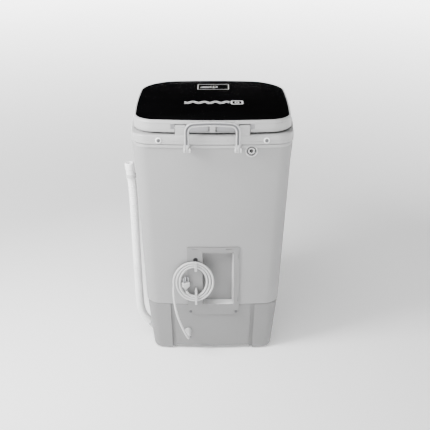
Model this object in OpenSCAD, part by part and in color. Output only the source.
// Portable top load washing machine: one tub, one lid, a carry handle and a drain hose.
// +Z is up, +Y is the rear. The origin is on the floor, under the middle of the cabinet.
// All sizes are in millimetres.

/* [Cabinet] */
// Height of the closed lid's top
total_h = 670; // [668:1:672]
// Half of the rim's width, the widest part
rim_half_w = 207; // [206:1:208]
// Half of the rim's depth at the middle of the rear
rim_half_d = 197.5; // [197:0.5:199]
// Height of the seam between the skirt and the cabinet
seam_z = 148; // [148:1:149]
// Wall thickness of the cabinet
wall = 2.5; // [2:0.1:3]
// Corner radius of the cabinet seen from above
corner_r = 34; // [32:1:36]

/* [Lid] */
// Half of the lid's width
lid_half_w = 199; // [198:1:200]
// Height of the lid's lower edge
lid_z0 = 640; // [639.5:0.5:640.5]

/* [Carry handle] */
// Outer width of the bail
handle_w = 135; // [132:1:136]
// Height of the bail's top when it stands up
handle_top = 676; // [672:1:677]
// Height of the pivot
handle_pivot_z = 604; // [603:1:605]

/* [Wash tub] */
// Outer radius of the tub at its mouth
tub_r = 160; // [156:1:161]
// Outer radius of the tub just above its floor
tub_floor_r = 150; // [146:1:152]
// Height of the underside of the tub's floor
tub_floor_z = 330; // [330:1:332]
// Radius of the pulsator
pulsator_r = 92; // [80:1:94]

/* [Drive] */
// Pitch radius of the driven pulley
driven_pitch_r = 60; // [56:1:62]
// Pitch radius of the motor pulley
motor_pitch_r = 13; // [12:0.5:14]
// Radius of the drive shaft
shaft_r = 7; // [6:0.5:8]

/* [Cord and hose] */
// Diameter of the power cord
cord_d = 6; // [5.5:0.1:6.5]
// Diameter of the drain hose
hose_d = 23; // [22:0.5:24]

/* [Hidden] */
$fn = 48;

// clearances and overlaps
eps = 0.5;
running = 0.06;

// outlines
arc_n = 7;
side_n = 5;

// cabinet
cab_top = 607;
cab_plate_z = 604;
cab_bow_x = 4;
cab_bow_y = 12;

// skirt
skirt_z0 = 3;
skirt_wall = 4;
skirt_corner_r = 22;
ledge_z = 142;
groove_x = 108.5;
groove_lean = 1.6;
groove_w = 10;
groove_deep = 2.5;
leg_flare = 0.031;
leg_step = 0.5;
opening_x0 = -62;
opening_x1 = 56;
opening_top = 316;
deck_h = 4;
deck_screw_x = 162;
deck_screw_y = 60;
lead_hole = [125.4, 97.1];

// rim
rim_z0 = 602;
rim_top = 635;
rim_bow = 10;
rim_screw_x = 131;
rim_screw_z = 622;
mouth_r = 152;

// lid and hinge
lid_rear = 192;
lid_front = -196;
lid_cy = (lid_rear + lid_front) / 2;
lid_half_d = (lid_rear - lid_front) / 2;
glass_half_w = lid_half_w - 6;
glass_rear = 186;
glass_front = -192;
hinge_y = 184;
hinge_z = 651;
hinge_pin_r = 3;
knuckle_r = 9;
knuckle_x0 = 65;
knuckle_x1 = 90;

// handle
handle_y0 = 207.5;
handle_y1 = 218;
handle_bar = 12;
handle_y = 212;
handle_stub_r = 4;
handle_out_r = 24;
leg_x = handle_w / 2 - handle_bar / 2;
eye_half = 3.5;
eye_h = 8;
cheek_x = 3.9;
cheek_t = 4.4;

// drive train
drive_y = 8;
motor_y = -80;
belt_z = 204;
belt_h = 8;
pulley_h = 16;
groove_half = 4.6;
groove_depth = 3;
bush_r = 12;

// inlet
inlet_x = -95;
inlet_z = 593;
inlet_y = 186;
inlet_flange_r = 15.2;
spout_r = 8.5;

// access panel
panel_x0 = -71;
panel_x1 = 66;
panel_z0 = 119;
panel_z1 = 325;
panel_t = 2.5;
recess_x0 = -54;
recess_x1 = 26;
recess_z0 = 152;
recess_z1 = 308;
recess_deep = 21;
panel_screw_z = 126.6;
panel_screw_x = [58.7, -63];

// hooks
hook_x = 43.5;
grommet_x = 44.4;
grommet_z = 288.4;

// timer
timer_z = 560;
knob_y0 = -218;
knob_y1 = -193;

// cord: leaves the gland's tip, loops outwards and rises to the left side of the coil
gland_base = [67, 154, 62];
gland_dir = [-0.1, 0.98, -0.17];
gland_len = 22;
cord_route = [
  [64.8, 175.6, 58.3], [64.2, 184.2, 58], [64.4, 192.7, 60.9], [66, 199.4, 66.8],
  [68.8, 203.8, 74.7], [72.6, 205.9, 84], [77.4, 206.2, 95], [83, 204.8, 108],
  [88.8, 202, 122.6], [94, 198.2, 138.5], [98, 193.8, 155], [100.9, 189.2, 171.5],
  [102.5, 185, 187.5], [103, 181.4, 203], [102, 179, 217],
];
coil_x = 48.5;
coil_y = 179;
coil_z = 225;
coil_half_w = 54;
coil_half_h = 59;
coil_step_w = 8;
coil_step_h = 6.2;
tail_route = [
  [41, 179, 184], [47.5, 179, 183], [53.3, 179, 183.7], [58.8, 179, 186],
  [63.6, 179, 189.6], [67.3, 179, 194.1], [69.4, 179, 199.2], [70, 179, 203.8],
];
plug_start = [70, 179, 203.8];
plug_dir = [0.03, 0, 1];
plug_roll = 110;

// hose: leaves the outlet at the foot of the side and stands up beside the cabinet
drain_knee = [106, 52, 50];
spigot_base = [156, 80, 22.5];
spigot_dir = [0.682, 0, 0.731];
spigot_r = 10.5;
spigot_bore = 8;
spigot_len = 31;
hose_route = [
  [177, 80, 45], [184.5, 80, 54], [190.7, 80, 64], [195.8, 80, 74.6], [199.5, 80, 85.8],
  [201.9, 80, 97.4], [203, 80, 112], [203.6, 80, 130], [204.2, 80, 152], [205, 80, 185],
  [206, 80, 235], [206.7, 80, 283], [207.4, 80, 330], [208, 80, 378], [209, 80, 420],
  [210, 80, 452], [212, 80, 480], [214.5, 80, 504],
];
hose_end = [214.5, 80, 504];
hose_end_dir = [0.1, 0, 0.995];

// ---- outlines and lofts ----

// one point of a rounded rectangle whose sides bow outwards
function bowed(p, a, b, bx, by) =
  [p[0] + bx * p[0] / a * (1 - pow(min(1, abs(p[1] / b)), 2)),
   p[1] + by * p[1] / b * (1 - pow(min(1, abs(p[0] / a)), 2))];

function corner_point(q, t, a, b, r) =
  let (sx = (q == 0 || q == 3) ? 1 : -1, sy = q < 2 ? 1 : -1)
  [sx * (a - r) + r * cos(90 * (q + t)), sy * (b - r) + r * sin(90 * (q + t))];

function mix(p, q, t) = p + (q - p) * t;

// closed outline: half width a, half depth b, rear and front corner radii, bows of the sides
function outline(a, b, rr, rf, bx, by) =
  let (a0 = a - bx, b0 = b - by)
  [for (q = [0:3])
    let (r = q < 2 ? rr : rf, rn = ((q + 1) % 4) < 2 ? rr : rf)
    for (i = [0:arc_n + side_n - 1])
      bowed(i <= arc_n ? corner_point(q, i / arc_n, a0, b0, r)
        : mix(corner_point(q, 1, a0, b0, r), corner_point((q + 1) % 4, 0, a0, b0, rn),
              (i - arc_n) / side_n), a0, b0, bx, by)];

function lift(points, z, cy = 0) = [for (p = points) [p[0], p[1] + cy, z]];

// faces between consecutive rings of n points
function ring_faces(k, n) =
  [for (j = [0:k - 2]) for (i = [0:n - 1])
    let (a = j * n + i, b = j * n + (i + 1) % n)
    each [[a, a + n, b + n], [a, b + n, b]]];

// solid between stacked rings, closed by flat caps
module loft(rings) {
  n = len(rings[0]);
  k = len(rings);
  caps = [[for (i = [0:n - 1]) i], [for (i = [n - 1:-1:0]) (k - 1) * n + i]];
  polyhedron(points = [for (r = rings) each r], faces = concat(caps, ring_faces(k, n)));
}

// ---- sizes that change with height ----

function cab_a(z) = 200 + 0.042 * (z - 600);
function cab_b(z) = 190 + 0.058 * (z - 605);
function skirt_a(z) = 178 + 0.098 * (z - seam_z);
function skirt_b(z) = 162.8 + 0.075 * (z - seam_z);
function cab_ring(z, inset) =
  lift(outline(cab_a(z) - inset, cab_b(z) - inset, corner_r - inset, corner_r - inset,
               cab_bow_x, cab_bow_y), z);
function skirt_ring(z, inset) =
  lift(outline(skirt_a(z) - inset, skirt_b(z) - inset, skirt_corner_r - inset,
               skirt_corner_r - inset, cab_bow_x, cab_bow_y), z);
// the corner legs flare out of the skirt to the rear and the front, more towards the floor
function leg_ring(z, inset) =
  lift(outline(skirt_a(z) + leg_step - inset,
               skirt_b(z) + leg_step + leg_flare * (seam_z - z) - inset,
               skirt_corner_r - inset, skirt_corner_r - inset, cab_bow_x, cab_bow_y), z);
function rim_ring(z, inset) =
  lift(outline(rim_half_w - inset, rim_half_d - inset, corner_r + 4 - inset,
               corner_r + 4 - inset, rim_bow, rim_bow), z);
function lid_ring(z, inset) =
  lift(outline(lid_half_w - inset, lid_half_d - inset, 48 - inset, 87 - inset, 7, 13),
       z, lid_cy);
function glass_ring(z, inset) =
  lift(outline(glass_half_w - inset, (glass_rear - glass_front) / 2 - inset, 42 - inset,
               82 - inset, 7, 13), z, (glass_rear + glass_front) / 2);

// rear wall of the cabinet: its outer face at x and z
function wall_y(x, z) =
  cab_b(z) - cab_bow_y * pow(min(1, abs(x) / (cab_a(z) - cab_bow_x)), 2);

// slab that follows the rear wall, from d0 to d1 outside it
module wall_slab(x0, x1, z0, z1, d0, d1) {
  k = 8;
  rings = [for (i = [0:k])
    let (x = mix(x0, x1, i / k))
    [[x, wall_y(x, z0) + d0, z0], [x, wall_y(x, z1) + d0, z1],
     [x, wall_y(x, z1) + d1, z1], [x, wall_y(x, z0) + d1, z0]]];
  loft([for (r = rings) [for (i = [3:-1:0]) r[i]]]);
}

// cylinder that starts at p and runs along the direction d
module along(p, d) {
  translate(p)
    rotate([0, acos(d[2] / norm(d)), atan2(d[1], d[0])])
      children();
}

module rod_y(x, z, y0, y1, r) {
  translate([x, y0, z])
    rotate([-90, 0, 0])
      cylinder(r = r, h = y1 - y0);
}

module rod_x(x0, x1, y, z, r) {
  translate([x0, y, z])
    rotate([0, 90, 0])
      cylinder(r = r, h = x1 - x0);
}

module block(x0, x1, y0, y1, z0, z1) {
  translate([x0, y0, z0])
    cube([x1 - x0, y1 - y0, z1 - z0]);
}

module pipe(r_out, r_in, h) {
  difference() {
    cylinder(r = r_out, h = h);
    translate([0, 0, -eps])
      cylinder(r = r_in, h = h + 2 * eps);
  }
}

// ---- swept tubes ----

function unit(v) = v / norm(v);
function tangent(p, i) = unit(p[min(i + 1, len(p) - 1)] - p[max(i - 1, 0)]);

// ring of n points across a route whose direction is never along the side vector
function tube_ring(p, i, r, n, side) =
  let (t = tangent(p, i), u = unit(cross(t, side)), v = cross(u, t))
  [for (k = [0:n - 1]) p[i] + r * (cos(360 * k / n) * u + sin(360 * k / n) * v)];

module tube(route, r, n, side) {
  loft([for (i = [0:len(route) - 1]) tube_ring(route, i, r, n, side)]);
}

// ---- cabinet and base ----

module cabinet_shell() {
  color([0.93, 0.93, 0.93])
    difference() {
      loft([for (z = [seam_z, 300, 450, rim_z0, cab_top]) cab_ring(z, 0)]);
      loft([for (z = [seam_z - 1, 300, 450, cab_plate_z]) cab_ring(z, wall)]);
      translate([0, drive_y, cab_plate_z - 1])
        cylinder(r = tub_r + 3, h = 5, $fn = 96);
      block(opening_x0, opening_x1, 130, 200, seam_z - 1, opening_top);
      rod_y(inlet_x, inlet_z, 165, 200, 13.4);
      rod_y(0, timer_z, -200, -170, 7);
    }
}

module base_skirt() {
  color([0.92, 0.92, 0.92])
    difference() {
      union() {
        loft([skirt_ring(skirt_z0, 4), skirt_ring(skirt_z0 + 3, 1.5),
              skirt_ring(skirt_z0 + 9, 0), skirt_ring(seam_z, 0)]);
        intersection() {
          loft([leg_ring(skirt_z0, 3), leg_ring(skirt_z0 + 3, 1), leg_ring(skirt_z0 + 9, 0),
                leg_ring(seam_z - 3, 0)]);
          for (sx = [0, 1], sy = [0, 1])
            mirror([sx, 0, 0])
              mirror([0, sy, 0])
                translate([groove_x, 0, seam_z])
                  rotate([0, groove_lean, 0])
                    block(groove_w / 2 - eps, 90, 112, 200, -seam_z - 2, 0);
        }
      }
      loft([skirt_ring(skirt_z0 + 4, skirt_wall + 5), skirt_ring(ledge_z, skirt_wall)]);
      loft([for (z = [ledge_z - 1, seam_z + 1]) skirt_ring(z, skirt_wall + 10)]);
      // open underneath between the corner legs
      block(-101, 101, -200, 200, 0, skirt_z0 + 8);
      block(-200, 200, -101, 101, 0, skirt_z0 + 8);
      // upright grooves beside each corner leg
      difference() {
        for (sx = [-1, 1])
          translate([sx * groove_x, 0, seam_z])
            rotate([0, sx * groove_lean, 0])
              block(-groove_w / 2, groove_w / 2, -200, 200, -seam_z - 2, -2);
        loft([skirt_ring(-2, groove_deep), skirt_ring(seam_z, groove_deep)]);
      }
      block(opening_x0, opening_x1, 130, 200, 131, seam_z + 1);
      along(spigot_base, spigot_dir)
        cylinder(r = spigot_r + 0.4, h = 60);
      rod_y(59.7, 39, 130, 170, 1.6);
      for (x = panel_screw_x)
        rod_y(x, panel_screw_z, 140, 170, 1.5);
      along(gland_base - 20 * gland_dir, gland_dir)
        cylinder(r = 5, h = 60);
      for (sx = [-1, 1], sy = [-1, 1])
        translate([sx * deck_screw_x, sy * deck_screw_y, ledge_z - 1])
          cylinder(r = 2, h = 10);
    }
}

module base_deck() {
  color([0.75, 0.76, 0.78])
    difference() {
      loft([for (z = [seam_z, seam_z + deck_h]) cab_ring(z, wall + 0.4)]);
      translate([0, 0, seam_z - 1])
        cylinder(r = 70, h = 6);
      block(opening_x0 - 4, opening_x1 + 4, 128, 200, seam_z - 1, seam_z + deck_h + 1);
      translate([drain_knee[0], drain_knee[1], seam_z - 1])
        cylinder(r = 14, h = deck_h + 2);
      translate([lead_hole[0], lead_hole[1], seam_z - 1])
        cylinder(r = 8, h = deck_h + 2);
      for (sx = [-1, 1], sy = [-1, 1])
        translate([sx * deck_screw_x, sy * deck_screw_y, seam_z - 1])
          cylinder(r = 2, h = deck_h + 2);
    }
}

module deck_screws() {
  color([0.6, 0.6, 0.62])
    for (sx = [-1, 1], sy = [-1, 1])
      translate([sx * deck_screw_x, sy * deck_screw_y, 0]) {
        translate([0, 0, seam_z + deck_h])
          cylinder(r = 4.5, h = 3);
        translate([0, 0, ledge_z])
          cylinder(r = 1.95, h = seam_z + deck_h - ledge_z + eps);
      }
}

module foot_pads() {
  color([0.12, 0.12, 0.12])
    for (sx = [-1, 1], sy = [-1, 1])
      translate([sx * 124, sy * 116, 0])
        cylinder(r = 14, h = skirt_z0);
}

// ---- rim ----

module top_rim() {
  color([0.94, 0.94, 0.94])
    difference() {
      union() {
        difference() {
          union() {
            loft([rim_ring(rim_z0, 2.9), rim_ring(611, 2.4), rim_ring(613, 0.4),
                  rim_ring(616, 0), rim_ring(630, 0), rim_ring(633.5, 1.2),
                  rim_ring(rim_top, 4)]);
            for (sx = [-1, 1], sy = [-1, 1])
              rod_y(sx * rim_screw_x, rim_screw_z, sy > 0 ? 184 : -195.2,
                    sy > 0 ? 195.2 : -184, 7.5);
          }
          loft([cab_ring(rim_z0 - 1, -0.3), cab_ring(630, -0.3)]);
          translate([0, drive_y, 620])
            cylinder(r = mouth_r, h = 20, $fn = 96);
        }
        translate([0, drive_y, 606])
          pipe(mouth_r + 3, mouth_r, 26, $fn = 96);
        for (sx = [-1, 1], sy = [-1, 1])
          translate([sx * 166, sy * 150, cab_top])
            cylinder(r = 8, h = 24);
      }
      rod_y(inlet_x, inlet_z, 170, 200, inlet_flange_r + 0.6);
      for (sx = [-1, 1], sy = [-1, 1])
        rod_y(sx * rim_screw_x, rim_screw_z, sy > 0 ? 182 : -197, sy > 0 ? 197 : -182, 2);
    }
}

module rim_screws() {
  color([0.62, 0.62, 0.64])
    for (sx = [-1, 1], sy = [-1, 1])
      mirror([0, sy > 0 ? 0 : 1, 0]) {
        rod_y(sx * rim_screw_x, rim_screw_z, 195.2, 197.4, 4.6);
        rod_y(sx * rim_screw_x, rim_screw_z, 184, 195.4, 1.95);
      }
}

module hinge_knuckles() {
  color([0.95, 0.95, 0.95])
    for (s = [-1, 1])
      translate([s > 0 ? knuckle_x0 : -knuckle_x1, 0, 0])
        difference() {
          union() {
            block(0, knuckle_x1 - knuckle_x0, hinge_y - knuckle_r, hinge_y + knuckle_r,
                  rim_top, hinge_z);
            rod_x(0, knuckle_x1 - knuckle_x0, hinge_y, hinge_z, knuckle_r);
          }
          rod_x(-1, knuckle_x1 - knuckle_x0 + 1, hinge_y, hinge_z, hinge_pin_r);
        }
}

module hinge_pins() {
  color([0.7, 0.7, 0.72])
    for (s = [-1, 1])
      rod_x(s > 0 ? 56 : -99, s > 0 ? 99 : -56, hinge_y, hinge_z, hinge_pin_r - 0.01);
}

// ---- lid ----

module lid_frame() {
  color([0.95, 0.95, 0.95])
    difference() {
      loft([lid_ring(lid_z0, 2.5), lid_ring(lid_z0 + 3, 0), lid_ring(663, 0),
            lid_ring(667.5, 1.4), lid_ring(total_h, 5)]);
      loft([glass_ring(666, -0.2), glass_ring(total_h + 1, -0.2)]);
      intersection() {
        loft([lid_ring(lid_z0 - 1, 12), lid_ring(662, 12)]);
        block(-200, 200, -200, 168, lid_z0 - 2, 663);
      }
      for (s = [-1, 1]) {
        block(s > 0 ? knuckle_x0 - 1.5 : -knuckle_x1 - 1.5,
              s > 0 ? knuckle_x1 + 1.5 : -knuckle_x0 + 1.5,
              hinge_y - knuckle_r - 1.2, 210, lid_z0 - 1, 664.4);
        rod_x(s > 0 ? 54 : -101, s > 0 ? 101 : -54, hinge_y, hinge_z,
              hinge_pin_r + running);
        block(s > 0 ? 7 : -58, s > 0 ? 58 : -7, 188.4, 210, lid_z0 + 2, 660);
        block(s > 0 ? 92 : -102, s > 0 ? 102 : -92, 187.4, 210, 649, 661);
      }
    }
}

module lid_glass() {
  color([0.03, 0.03, 0.03])
    loft([glass_ring(666.1, 0.1), glass_ring(669, 0.1), glass_ring(total_h, 1)]);
}

module lid_bumpers() {
  color([0.2, 0.2, 0.2])
    for (sx = [-1, 1], y = [-110, 130])
      translate([sx * (lid_half_w - 9.4), y, rim_top + 0.4])
        cylinder(r = 4, h = lid_z0 - rim_top - 0.4);
}

// ---- carry handle ----

// a clevis for each end of the bail: two cheeks on a plate against the rim
module handle_brackets() {
  color([0.9, 0.9, 0.9])
    for (s = [-1, 1])
      translate([s * leg_x, 0, 0]) {
        for (x = [cheek_x, -cheek_x - cheek_t])
          translate([x, 0, 0])
            difference() {
              union() {
                block(0, cheek_t, 188, handle_y, handle_pivot_z - 7, handle_pivot_z + 7);
                rod_x(0, cheek_t, handle_y, handle_pivot_z, 7);
              }
              rod_x(-1, cheek_t + 1, handle_y, handle_pivot_z, handle_stub_r + running);
            }
        block(-cheek_x - eps, cheek_x + eps, 188, 195, handle_pivot_z - 7,
              handle_pivot_z + 7);
      }
}

module bail_outline(half_w, top, r) {
  translate([-half_w, 0])
    square([2 * half_w, top - r]);
  translate([-half_w + r, 0])
    square([2 * (half_w - r), top]);
  for (s = [-1, 1])
    translate([s * (half_w - r), top - r])
      circle(r = r);
}

module carry_handle() {
  top = handle_top - handle_pivot_z;
  color([0.85, 0.86, 0.87])
    translate([0, 0, handle_pivot_z]) {
      translate([0, handle_y1, 0])
        rotate([90, 0, 0])
          linear_extrude(height = handle_y1 - handle_y0)
            difference() {
              union() {
                bail_outline(handle_w / 2, top, handle_out_r);
                for (s = [-1, 1])
                  translate([s * leg_x, 0])
                    circle(r = handle_bar / 2);
              }
              translate([0, -10])
                bail_outline(handle_w / 2 - handle_bar, top + 10 - handle_bar + 1,
                             handle_out_r - 9);
              // the legs are narrower between the cheeks
              for (s = [-1, 1])
                for (x = [eye_half, -eye_half - 5])
                  translate([s * leg_x + x, -10])
                    square([5, 10 + eye_h]);
            }
      for (s = [-1, 1])
        rod_x(s * leg_x - 9, s * leg_x + 9, handle_y, 0, handle_stub_r);
    }
}

// ---- water inlet ----

module water_inlet() {
  color([0.92, 0.92, 0.92])
    difference() {
      union() {
        rod_y(inlet_x, inlet_z, inlet_y, inlet_y + 3.5, inlet_flange_r);
        rod_y(inlet_x, inlet_z, 169, inlet_y + 1, 13.2);
        rod_y(inlet_x, inlet_z, 160, 170, spout_r - 0.5);
      }
      difference() {
        rod_y(inlet_x, inlet_z, 172, inlet_y + 5, 12);
        rod_y(inlet_x, inlet_z, 170, inlet_y + 2.5, spout_r);
      }
      rod_y(inlet_x, inlet_z, 155, inlet_y + 6, 5);
    }
}

module inlet_pipe() {
  color([0.85, 0.85, 0.85])
    translate([inlet_x, 120, inlet_z])
      rotate([-90, 0, 0])
        pipe(spout_r - 1, 5, 40);
}

// ---- access panel, hooks and gland ----

module panel_shape() {
  r = 20;
  translate([0, 220, 0])
    rotate([90, 0, 0])
      linear_extrude(height = 120) {
        translate([panel_x0, panel_z0 + r])
          square([panel_x1 - panel_x0, panel_z1 - panel_z0 - r]);
        translate([panel_x0 + r, panel_z0])
          square([panel_x1 - panel_x0 - 2 * r, r + 1]);
        for (x = [panel_x0 + r, panel_x1 - r])
          translate([x, panel_z0 + r])
            circle(r = r);
      }
}

module access_panel() {
  color([0.91, 0.91, 0.91])
    difference() {
      union() {
        intersection() {
          wall_slab(panel_x0, panel_x1, panel_z0, panel_z1, 0.2, panel_t + 0.2);
          panel_shape();
        }
        wall_slab(recess_x0 - 2.5, recess_x1 + 2.5, recess_z0 - 2.5, recess_z1 + 2.5,
                  -recess_deep - 2.5, 1);
      }
      wall_slab(recess_x0, recess_x1, recess_z0, recess_z1, -recess_deep, 12);
      for (x = panel_screw_x)
        rod_y(x, panel_screw_z, 150, 180, 2);
      for (z = [196, 264])
        rod_y(hook_x, z, 150, 190, 2);
      rod_y(grommet_x, grommet_z, 160, 190, 4.5);
    }
}

module access_panel_screws() {
  color([0.6, 0.6, 0.62])
    for (x = panel_screw_x) {
      y = wall_y(x, panel_screw_z) + panel_t + 0.8;
      rod_y(x, panel_screw_z, y, y + 1.8, 3.6);
      rod_y(x, panel_screw_z, y - 14, y + 0.5, 1.45);
    }
}

module hook(stem_z0, stem_z1, tip_z0, tip_z1) {
  base = wall_y(hook_x, stem_z0) + panel_t + 0.1;
  block(hook_x - 3, hook_x + 3, base, 184, stem_z0, stem_z1);
  block(hook_x - 3, hook_x + 3, 182.8, 186.4, tip_z0, tip_z1);
  rod_y(hook_x, (stem_z0 + stem_z1) / 2, base - 6, base + 1, 1.95);
}

module cord_hook_upper() {
  color([0.93, 0.93, 0.93])
    hook(259.5, 264.2, 259.5, 284);
}

module cord_hook_lower() {
  color([0.93, 0.93, 0.93])
    hook(188.2, 203.8, 160, 204);
}

module rubber_grommet() {
  y = wall_y(grommet_x, grommet_z) + panel_t + 0.2;
  color([0.05, 0.05, 0.05]) {
    rod_y(grommet_x, grommet_z, y, y + 2, 6);
    rod_y(grommet_x, grommet_z, y - 5, y + 0.5, 4.4);
  }
}

module cord_gland() {
  color([0.96, 0.96, 0.96]) {
    along(gland_base, gland_dir)
      cylinder(r1 = 9, r2 = 4.2, h = gland_len);
    along(gland_base - 6 * gland_dir, gland_dir)
      cylinder(r = 4.9, h = 8);
  }
}

// ---- power cord ----

module power_cord() {
  color([0.95, 0.95, 0.95])
    tube(cord_route, cord_d / 2, 8, [1, 0, 0]);
}

function ellipse(a, b) = [for (i = [0:47]) [a * cos(7.5 * i), b * sin(7.5 * i)]];

module power_cord_coil() {
  color([0.95, 0.95, 0.95])
    translate([coil_x, coil_y + cord_d / 2, coil_z])
      rotate([90, 0, 0])
        linear_extrude(height = cord_d)
          difference() {
            polygon(ellipse(coil_half_w + 3.5, coil_half_h + 3.5));
            // the innermost turn lies a little high and to the left
            translate([2, 1.4])
              polygon(ellipse(coil_half_w - 2.5 * coil_step_w - 1.4,
                              coil_half_h - 2.5 * coil_step_h - 3.3));
          }
}

module power_cord_tail() {
  color([0.95, 0.95, 0.95])
    tube(tail_route, cord_d / 2, 8, [0, 1, 0]);
}

module at_plug() {
  along(plug_start, plug_dir)
    rotate([0, 0, plug_roll])
      children();
}

module power_plug() {
  color([0.95, 0.95, 0.95])
    at_plug() {
      cylinder(r1 = 4, r2 = 5.5, h = 6);
      translate([-6.5, -10, 5.5])
        cube([13, 20, 15]);
    }
}

module plug_blades() {
  color([0.8, 0.76, 0.6])
    at_plug() {
      for (s = [-1, 1])
        translate([-3.2, s * 6.35 - 0.8, 20.5])
          cube([6.4, 1.6, 14]);
      translate([-4, 0, 20.5])
        cylinder(r = 2.3, h = 15);
    }
}

// ---- drain ----

// hollow spigot that slants up through the skirt's wall to meet the hose
module drain_outlet() {
  color([0.9, 0.9, 0.9])
    along(spigot_base, spigot_dir)
      pipe(spigot_r, spigot_bore, spigot_len);
}

module drain_hose() {
  color([0.88, 0.88, 0.88])
    tube(hose_route, hose_d / 2, 12, [0, 1, 0]);
}

module hose_cuff() {
  color([0.9, 0.9, 0.9])
    along(hose_end, hose_end_dir)
      pipe(12.4, 8, 20);
}

module hose_clip() {
  color([0.9, 0.9, 0.9])
    translate([212.4, 80, 484]) {
      difference() {
        cylinder(r = 14, h = 8);
        translate([0, 0, -1])
          cylinder(r = 11.2, h = 10);
      }
      block(-17.6, -12.5, -5, 5, 0, 8);
    }
}

// ---- tub ----

function arc_points(cx, cz, r, a0, a1, n) =
  [for (i = [0:n]) [cx + r * cos(mix(a0, a1, i / n)), cz + r * sin(mix(a0, a1, i / n))]];

module wash_tub() {
  z0 = tub_floor_z;
  color([0.93, 0.94, 0.95])
    translate([0, drive_y, 0])
      difference() {
        rotate_extrude($fn = 96)
          polygon(concat(
            [[15, z0], [tub_floor_r - 14, z0]],
            arc_points(tub_floor_r - 14, z0 + 14, 14, -90, 0, 4),
            [[tub_r, cab_top], [tub_r + 16, cab_top], [tub_r + 16, cab_top + 3],
             [tub_r - 3, cab_top + 3]],
            arc_points(tub_floor_r - 14, z0 + 14, 11, 0, -90, 4),
            [[15, z0 + 3]]));
        translate([drain_knee[0], drain_knee[1] - drive_y, z0 - 1])
          cylinder(r = 13, h = 5);
        rod_y(inlet_x, inlet_z, 100, 170, spout_r);
      }
}

module lint_filter() {
  color([0.55, 0.65, 0.75])
    translate([0, drive_y, 0])
      rotate([0, 0, 200])
        translate([134.6, 0, 400]) {
          difference() {
            block(0, 10, -34, 34, 0, 110);
            block(2, 8, -31, 31, 3, 107);
            for (i = [-3:3], j = [0:4])
              block(-1, 3, i * 8.4 - 2.2, i * 8.4 + 2.2, 8 + j * 20, 22 + j * 20);
          }
        }
}

module drain_strainer() {
  color([0.4, 0.45, 0.5])
    translate([drain_knee[0], drain_knee[1], tub_floor_z])
      difference() {
        union() {
          translate([0, 0, 3])
            cylinder(r = 16.5, h = 2.5);
          cylinder(r = 12.9, h = 4);
        }
        translate([0, 0, -1])
          cylinder(r = 10, h = 4);
        for (i = [0:5])
          rotate([0, 0, 60 * i])
            translate([6.5, 0, 0])
              cylinder(r = 2.2, h = 8);
        cylinder(r = 2.2, h = 8);
      }
}

module drain_pipe() {
  run = norm(spigot_base - drain_knee);
  color([0.25, 0.25, 0.27])
    difference() {
      union() {
        translate(drain_knee)
          cylinder(r = 12, h = tub_floor_z - drain_knee[2]);
        translate(drain_knee)
          sphere(r = 12.6);
        along(drain_knee, spigot_base - drain_knee)
          cylinder(r = 11, h = run - 13);
      }
      translate(drain_knee)
        cylinder(r = 9.5, h = tub_floor_z);
      along(drain_knee, spigot_base - drain_knee)
        cylinder(r = 8, h = run);
    }
}

// ---- drive ----

module pulsator() {
  z0 = tub_floor_z + 10;
  color([0.35, 0.5, 0.7])
    translate([0, drive_y, 0])
      difference() {
        union() {
          rotate_extrude($fn = 96)
            polygon([[0, z0], [pulsator_r, z0], [pulsator_r, z0 + 6],
                     [pulsator_r - 8, z0 + 11], [40, z0 + 13], [26, z0 + 30],
                     [0, z0 + 30]]);
          for (i = [0:5])
            rotate([0, 0, 60 * i + 15])
              translate([20, -5, z0 + 4])
                cube([62, 10, 17]);
        }
        translate([0, 0, z0 - 1])
          cylinder(r = shaft_r, h = 21);
        translate([0, 0, z0])
          cylinder(r = 3.2, h = 40);
        translate([0, 0, z0 + 26])
          cylinder(r = 10, h = 10);
      }
}

module pulsator_screw() {
  color([0.75, 0.75, 0.77])
    translate([0, drive_y, 0])
      difference() {
        union() {
          translate([0, 0, tub_floor_z + 36])
            cylinder(r = 9, h = 5);
          translate([0, 0, tub_floor_z + 12])
            cylinder(r = 2.95, h = 25);
        }
        translate([0, 0, tub_floor_z + 38])
          cylinder(r = 3.4, h = 5, $fn = 6);
      }
}

module drive_shaft() {
  color([0.6, 0.6, 0.62])
    translate([0, drive_y, 0])
      difference() {
        union() {
          translate([0, 0, belt_z - 8])
            cylinder(r = shaft_r, h = tub_floor_z + 30 - belt_z + 8);
          translate([0, 0, belt_z - 20])
            cylinder(r = 5, h = 13);
        }
        translate([0, 0, tub_floor_z + 11])
          cylinder(r = 3, h = 20);
      }
}

module bearing_housing() {
  color([0.7, 0.7, 0.72])
    translate([0, drive_y, 0])
      difference() {
        union() {
          translate([0, 0, 240])
            cylinder(r = 24, h = 86);
          translate([0, 0, tub_floor_z - 6])
            cylinder(r = 52, h = 6);
          translate([0, 0, tub_floor_z - 1])
            cylinder(r = 14.95, h = 9);
        }
        translate([0, 0, 239])
          cylinder(r = bush_r, h = 105);
        for (i = [0:3])
          rotate([0, 0, 45 + 90 * i])
            translate([40, 0, tub_floor_z - 8])
              cylinder(r = 3, h = 10);
      }
}

module shaft_bushes() {
  color([0.72, 0.55, 0.25])
    for (z = [244, 296])
      translate([0, drive_y, z])
        pipe(bush_r, shaft_r + running, 18);
}

module shaft_seal() {
  color([0.1, 0.1, 0.1])
    translate([0, drive_y, tub_floor_z - 3])
      pipe(bush_r, shaft_r + running, 10);
}

// grooved pulley about its own axis, z = 0 at the middle of the groove
module grooved_pulley(pitch_r, bore_r) {
  h = pulley_h / 2;
  rotate_extrude($fn = 96)
    polygon([[bore_r, -h], [pitch_r + 4, -h], [pitch_r + 4, -groove_half - 1.5],
             [pitch_r - groove_depth, -groove_half], [pitch_r - groove_depth, groove_half],
             [pitch_r + 4, groove_half + 1.5], [pitch_r + 4, h], [bore_r, h]]);
}

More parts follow.
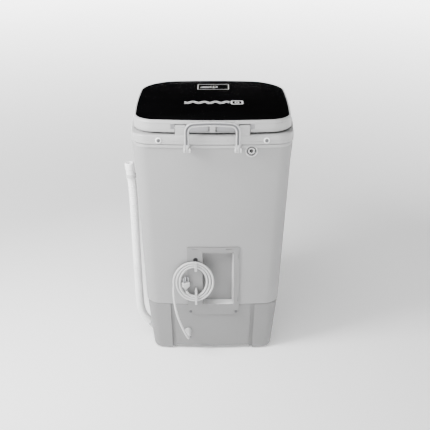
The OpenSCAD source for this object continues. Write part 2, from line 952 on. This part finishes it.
module driven_pulley() {
  color([0.3, 0.3, 0.32])
    translate([0, drive_y, belt_z])
      difference() {
        grooved_pulley(driven_pitch_r, shaft_r);
        for (i = [0:4])
          rotate([0, 0, 72 * i])
            translate([35, 0, -20])
              cylinder(r = 13, h = 40);
      }
}

module pulley_nut() {
  color([0.75, 0.75, 0.77])
    translate([0, drive_y, belt_z - 16])
      difference() {
        cylinder(r = 9.8, h = 8, $fn = 6);
        translate([0, 0, -1])
          cylinder(r = 5, h = 10);
      }
}

module drive_belt() {
  outer = 3;
  inner = groove_depth - 0.6;
  color([0.08, 0.08, 0.08])
    translate([0, 0, belt_z - belt_h / 2])
      linear_extrude(height = belt_h)
        difference() {
          hull() {
            translate([0, drive_y])
              circle(r = driven_pitch_r + outer, $fn = 96);
            translate([0, motor_y])
              circle(r = motor_pitch_r + outer, $fn = 32);
          }
          hull() {
            translate([0, drive_y])
              circle(r = driven_pitch_r - inner, $fn = 96);
            translate([0, motor_y])
              circle(r = motor_pitch_r - inner + 0.1, $fn = 32);
          }
        }
}

module motor_body() {
  color([0.55, 0.57, 0.6])
    translate([0, motor_y, 0])
      difference() {
        union() {
          translate([0, 0, 248])
            cylinder(r = 44, h = 50);
          translate([0, 0, 234])
            cylinder(r = 37, h = 80);
          translate([0, 0, 228])
            cylinder(r = 14, h = 10);
          for (a = [35, 145, 215, 325])
            rotate([0, 0, a])
              translate([30, -7, 298])
                cube([22, 14, 16]);
        }
        translate([0, 0, 220])
          cylinder(r = 5 + running, h = 88);
      }
}

module motor_shaft() {
  color([0.7, 0.7, 0.72])
    translate([0, motor_y, belt_z - 12])
      cylinder(r = 5, h = 304 - belt_z + 12);
}

module motor_pulley() {
  color([0.7, 0.7, 0.72])
    translate([0, motor_y, belt_z])
      grooved_pulley(motor_pitch_r, 5);
}

motor_mounts = [[-58, -100], [58, -100], [-58, -60], [58, -60]];

module motor_bracket() {
  color([0.65, 0.66, 0.68])
    difference() {
      block(-72, 72, -114, -46, 314, 317);
      for (p = motor_mounts)
        translate([p[0], p[1], 310])
          cylinder(r = 3.1, h = 10);
    }
}

module motor_mount_rubbers() {
  color([0.1, 0.1, 0.1])
    for (p = motor_mounts)
      translate([p[0], p[1], 317])
        pipe(9, 3.1, tub_floor_z - 317);
}

module motor_bolts() {
  color([0.75, 0.75, 0.77])
    for (p = motor_mounts)
      translate([p[0], p[1], 0]) {
        translate([0, 0, 309.5])
          cylinder(r = 6, h = 4.5);
        translate([0, 0, 313])
          cylinder(r = 3, h = tub_floor_z - 313);
      }
}

module capacitor() {
  color([0.85, 0.85, 0.82])
    translate([-112, 66, seam_z + 4]) {
      cylinder(r = 19, h = 70);
      cylinder(r = 23, h = 8);
      for (s = [-1, 1])
        translate([s * 7, -2.5, 69])
          cube([1, 5, 10]);
    }
}

// leads from the gland to the motor and up to the timer, clear of the tub and the belt
motor_lead = [
  [67.7, 146.6, 63.3], [78, 139, 69], [93, 128, 86], [108, 115, 112], [122, 100, 143],
  [134, 90, 178],
  [143, 60, 215], [136, -10, 248], [100, -60, 272], [46, -80, 275],
];
timer_lead = [
  [143, 10, 250], [142, -60, 280], [140, -110, 330], [139, -128, 420], [128, -138, 490],
  [90, -156, 540], [44, -166, 558], [23, -170, 560],
];

module wiring_harness() {
  color([0.15, 0.15, 0.17]) {
    tube(motor_lead, 3.5, 8, [0, 0.6, 0.8]);
    tube(timer_lead, 3, 8, [0.9, 0, 0.4]);
  }
}

// ---- controls ----

module control_fascia() {
  color([0.85, 0.86, 0.88])
    difference() {
      intersection() {
        mirror([0, 1, 0])
          wall_slab(-66, 66, 518, 598, 0.2, 3.4);
        translate([0, -150, 0])
          rotate([90, 0, 0])
            linear_extrude(height = 70) {
              translate([-54, 518])
                square([108, 80]);
              translate([-66, 530])
                square([132, 56]);
              for (s = [-1, 1], z = [530, 586])
                translate([s * 54, z])
                  circle(r = 12);
            }
      }
      rod_y(0, timer_z, -200, -170, 6);
    }
}

module timer_body() {
  color([0.8, 0.8, 0.78])
    difference() {
      union() {
        block(-23, 23, -182, -158, timer_z - 23, timer_z + 23);
        rod_y(0, timer_z, -184, -180, 12);
      }
      rod_y(0, timer_z, -190, -164, 3 + running);
    }
}

module timer_shaft() {
  color([0.7, 0.7, 0.72])
    rod_y(0, timer_z, -206, -165, 3);
}

module timer_knob() {
  color([0.8, 0.8, 0.82])
    difference() {
      union() {
        rod_y(0, timer_z, -199, knob_y1, 24);
        rod_y(0, timer_z, -206, -198, 20);
        block(-6, 6, knob_y0, -200, timer_z - 19, timer_z + 19);
      }
      rod_y(0, timer_z, -206, -190, 3);
    }
}

cabinet_shell();
base_skirt();
base_deck();
deck_screws();
foot_pads();
top_rim();
rim_screws();
hinge_knuckles();
hinge_pins();
lid_frame();
lid_glass();
lid_bumpers();
handle_brackets();
carry_handle();
water_inlet();
inlet_pipe();
access_panel();
access_panel_screws();
cord_hook_upper();
cord_hook_lower();
rubber_grommet();
cord_gland();
power_cord();
power_cord_coil();
power_cord_tail();
power_plug();
plug_blades();
drain_outlet();
drain_hose();
hose_cuff();
hose_clip();
wash_tub();
lint_filter();
drain_strainer();
drain_pipe();
pulsator();
pulsator_screw();
drive_shaft();
bearing_housing();
shaft_bushes();
shaft_seal();
driven_pulley();
pulley_nut();
drive_belt();
motor_body();
motor_shaft();
motor_pulley();
motor_bracket();
motor_mount_rubbers();
motor_bolts();
capacitor();
wiring_harness();
control_fascia();
timer_body();
timer_shaft();
timer_knob();
